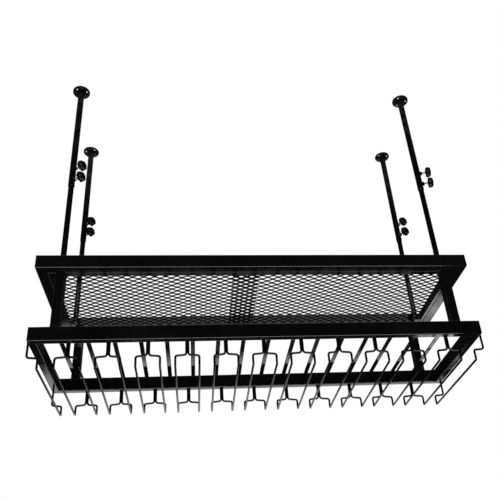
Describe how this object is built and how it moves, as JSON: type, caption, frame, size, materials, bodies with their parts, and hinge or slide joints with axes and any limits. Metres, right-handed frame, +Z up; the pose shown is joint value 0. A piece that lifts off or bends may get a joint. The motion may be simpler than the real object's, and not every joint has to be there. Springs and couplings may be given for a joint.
{
  "type": "hanging wine glass rack",
  "caption": "Ceiling-hung steel rack with a mesh shelf in a tube frame, a lower frame with flat bars, bent-wire stemware hangers and four telescopic poles with clamp knobs.",
  "frame": {"origin": "middle of the four ceiling flanges, on the ceiling plane", "axes": "+X along the length to the right seen from the front, +Y to the rear, +Z up into the ceiling"},
  "size_m": [1.2, 0.38, 1.0059],
  "materials": {
    "painted_steel": "glossy black paint",
    "expanded_mesh": "glossy black paint on expanded metal",
    "hanger_wire": "glossy black paint on round wire",
    "poles": "satin black paint",
    "clamp_knob": "glossy black moulded plastic",
    "clamp_stud": "bright zinc-plated thread"
  },
  "bodies": {
    "ceiling_poles": {"flange_front_left": "poles", "outer_pole_front_left": "poles", "flange_front_right": "poles", "outer_pole_front_right": "poles", "flange_rear_left": "poles", "outer_pole_rear_left": "poles", "flange_rear_right": "poles", "outer_pole_rear_right": "poles"},
    "rack": {"shelf_front_rail": "painted_steel", "shelf_right_rail": "painted_steel", "shelf_rear_rail": "painted_steel", "shelf_left_rail": "painted_steel", "rack_front_rail": "painted_steel", "rack_right_rail": "painted_steel", "rack_rear_rail": "painted_steel", "rack_left_rail": "painted_steel", "post_front_left": "painted_steel", "post_front_right": "painted_steel", "post_rear_left": "painted_steel", "post_rear_right": "painted_steel", "cross_bars": "painted_steel", "ledge_front": "painted_steel", "ledge_rear": "painted_steel", "ledge_ends": "painted_steel", "mesh_panel_left": "expanded_mesh", "mesh_panel_right": "expanded_mesh", "hanger_01": "hanger_wire", "hanger_02": "hanger_wire", "hanger_03": "hanger_wire", "hanger_04": "hanger_wire", "hanger_05": "hanger_wire", "hanger_06": "hanger_wire", "hanger_07": "hanger_wire", "hanger_08": "hanger_wire", "hanger_09": "hanger_wire", "hanger_10": "hanger_wire", "hanger_11": "hanger_wire", "hanger_12": "hanger_wire", "hanger_13": "hanger_wire", "inner_pole_front_left": "poles", "inner_pole_front_right": "poles", "inner_pole_rear_left": "poles", "inner_pole_rear_right": "poles"},
    "clamp_screw_lower_front_left": {"stud_lower_front_left": "clamp_stud", "knob_lower_front_left": "clamp_knob"},
    "clamp_screw_upper_front_left": {"stud_upper_front_left": "clamp_stud", "knob_upper_front_left": "clamp_knob"},
    "clamp_screw_lower_front_right": {"stud_lower_front_right": "clamp_stud", "knob_lower_front_right": "clamp_knob"},
    "clamp_screw_upper_front_right": {"stud_upper_front_right": "clamp_stud", "knob_upper_front_right": "clamp_knob"},
    "clamp_screw_lower_rear_left": {"stud_lower_rear_left": "clamp_stud", "knob_lower_rear_left": "clamp_knob"},
    "clamp_screw_upper_rear_left": {"stud_upper_rear_left": "clamp_stud", "knob_upper_rear_left": "clamp_knob"},
    "clamp_screw_lower_rear_right": {"stud_lower_rear_right": "clamp_stud", "knob_lower_rear_right": "clamp_knob"},
    "clamp_screw_upper_rear_right": {"stud_upper_rear_right": "clamp_stud", "knob_upper_rear_right": "clamp_knob"}
  },
  "joints": [
    {"name": "height_slide", "type": "slide", "parent": "ceiling_poles", "child": "rack", "axis": [0, 0, 1], "range_m": [-0.13, 0.16]},
    {"name": "clamp_lower_front_left", "type": "hinge", "parent": "ceiling_poles", "child": "clamp_screw_lower_front_left", "pos_m": [-0.54, -0.14, -0.376], "axis": [0.866, -0.5, 0], "range_deg": [0, 720]},
    {"name": "clamp_upper_front_left", "type": "hinge", "parent": "ceiling_poles", "child": "clamp_screw_upper_front_left", "pos_m": [-0.54, -0.14, -0.333], "axis": [0.866, -0.5, 0], "range_deg": [0, 720]},
    {"name": "clamp_lower_front_right", "type": "hinge", "parent": "ceiling_poles", "child": "clamp_screw_lower_front_right", "pos_m": [0.54, -0.14, -0.376], "axis": [0.9563, -0.2924, 0], "range_deg": [0, 720]},
    {"name": "clamp_upper_front_right", "type": "hinge", "parent": "ceiling_poles", "child": "clamp_screw_upper_front_right", "pos_m": [0.54, -0.14, -0.333], "axis": [0.9563, -0.2924, 0], "range_deg": [0, 720]},
    {"name": "clamp_lower_rear_left", "type": "hinge", "parent": "ceiling_poles", "child": "clamp_screw_lower_rear_left", "pos_m": [-0.547, 0.14, -0.376], "axis": [0.766, -0.6428, 0], "range_deg": [0, 720]},
    {"name": "clamp_upper_rear_left", "type": "hinge", "parent": "ceiling_poles", "child": "clamp_screw_upper_rear_left", "pos_m": [-0.547, 0.14, -0.333], "axis": [0.766, -0.6428, 0], "range_deg": [0, 720]},
    {"name": "clamp_lower_rear_right", "type": "hinge", "parent": "ceiling_poles", "child": "clamp_screw_lower_rear_right", "pos_m": [0.547, 0.14, -0.376], "axis": [0.5, -0.866, 0], "range_deg": [0, 720]},
    {"name": "clamp_upper_rear_right", "type": "hinge", "parent": "ceiling_poles", "child": "clamp_screw_upper_rear_right", "pos_m": [0.547, 0.14, -0.333], "axis": [0.5, -0.866, 0], "range_deg": [0, 720]}
  ]
}
